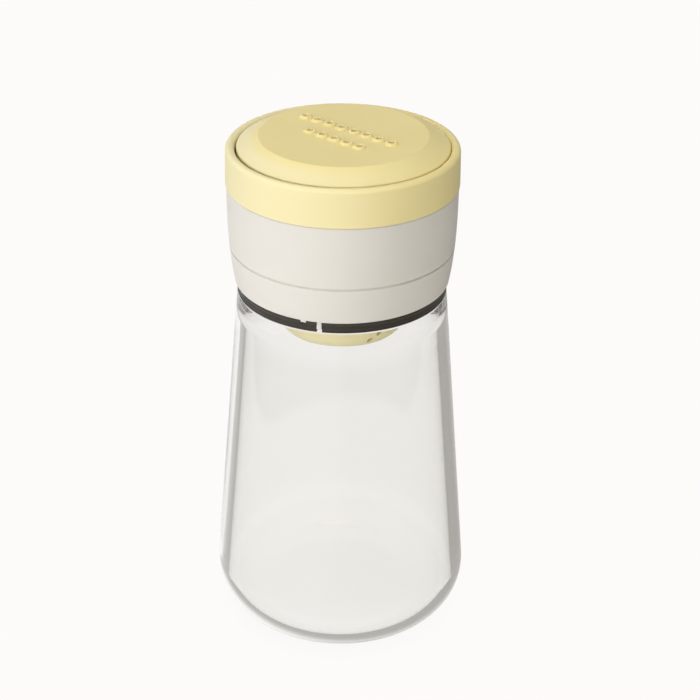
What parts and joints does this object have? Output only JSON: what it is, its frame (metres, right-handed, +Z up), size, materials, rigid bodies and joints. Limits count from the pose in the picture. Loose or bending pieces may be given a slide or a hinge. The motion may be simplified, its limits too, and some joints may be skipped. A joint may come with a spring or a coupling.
{
  "type": "press-button spice shaker",
  "caption": "Conical glass spice bottle with a screw-on press-button dispensing head, yellow button, ring and metering cup, cream collar.",
  "frame": {"origin": "centre of the bottle's base, on the surface it stands on", "axes": "+Z up along the bottle's axis, through the button; -Y is the front, the side the seal's split is on"},
  "size_m": [0.07, 0.07, 0.1423],
  "materials": {
    "clear_glass": "clear, polished",
    "cream_plastic": "satin moulded",
    "yellow_plastic": "satin moulded",
    "inner_plastic": "natural moulded",
    "dark_seal": "matt",
    "silicone": "translucent matt",
    "steel": "bright"
  },
  "bodies": {
    "bottle": {"glass_bottle": "clear_glass"},
    "gasket": {"neck_gasket": "silicone"},
    "head": {"neck_seal": "dark_seal", "neck_collar": "cream_plastic", "collar_oring": "dark_seal", "head_housing": "cream_plastic", "metering_cup": "yellow_plastic", "stem_guide": "inner_plastic", "guide_screws": "steel", "outlet_ring": "yellow_plastic", "ring_oring": "dark_seal", "return_spring": "steel"},
    "button": {"push_button": "yellow_plastic", "valve_screws": "steel", "stem_screw": "steel", "valve_disc": "inner_plastic", "outlet_seal": "silicone", "valve_stem": "steel", "shutter_sleeve": "inner_plastic", "shutter_screw": "steel"}
  },
  "joints": [
    {"name": "head_lift", "type": "slide", "parent": "bottle", "child": "gasket", "axis": [0, 0, 1], "range_m": [0, 0.0063]},
    {"name": "head_unscrew", "type": "hinge", "parent": "gasket", "child": "head", "pos_m": [0, 0, 0.11], "axis": [0, 0, 1], "range_deg": [0, 450]},
    {"name": "button_press", "type": "slide", "parent": "head", "child": "button", "axis": [0, 0, -1], "range_m": [0, 0.0045], "stiffness_N_per_m": 400, "springref_m": -0.008, "deforming": ["return_spring"]}
  ],
  "couplings": [
    {"joint": "head_lift", "follows": "head_unscrew", "m_per_rad": 0.00079577}
  ]
}
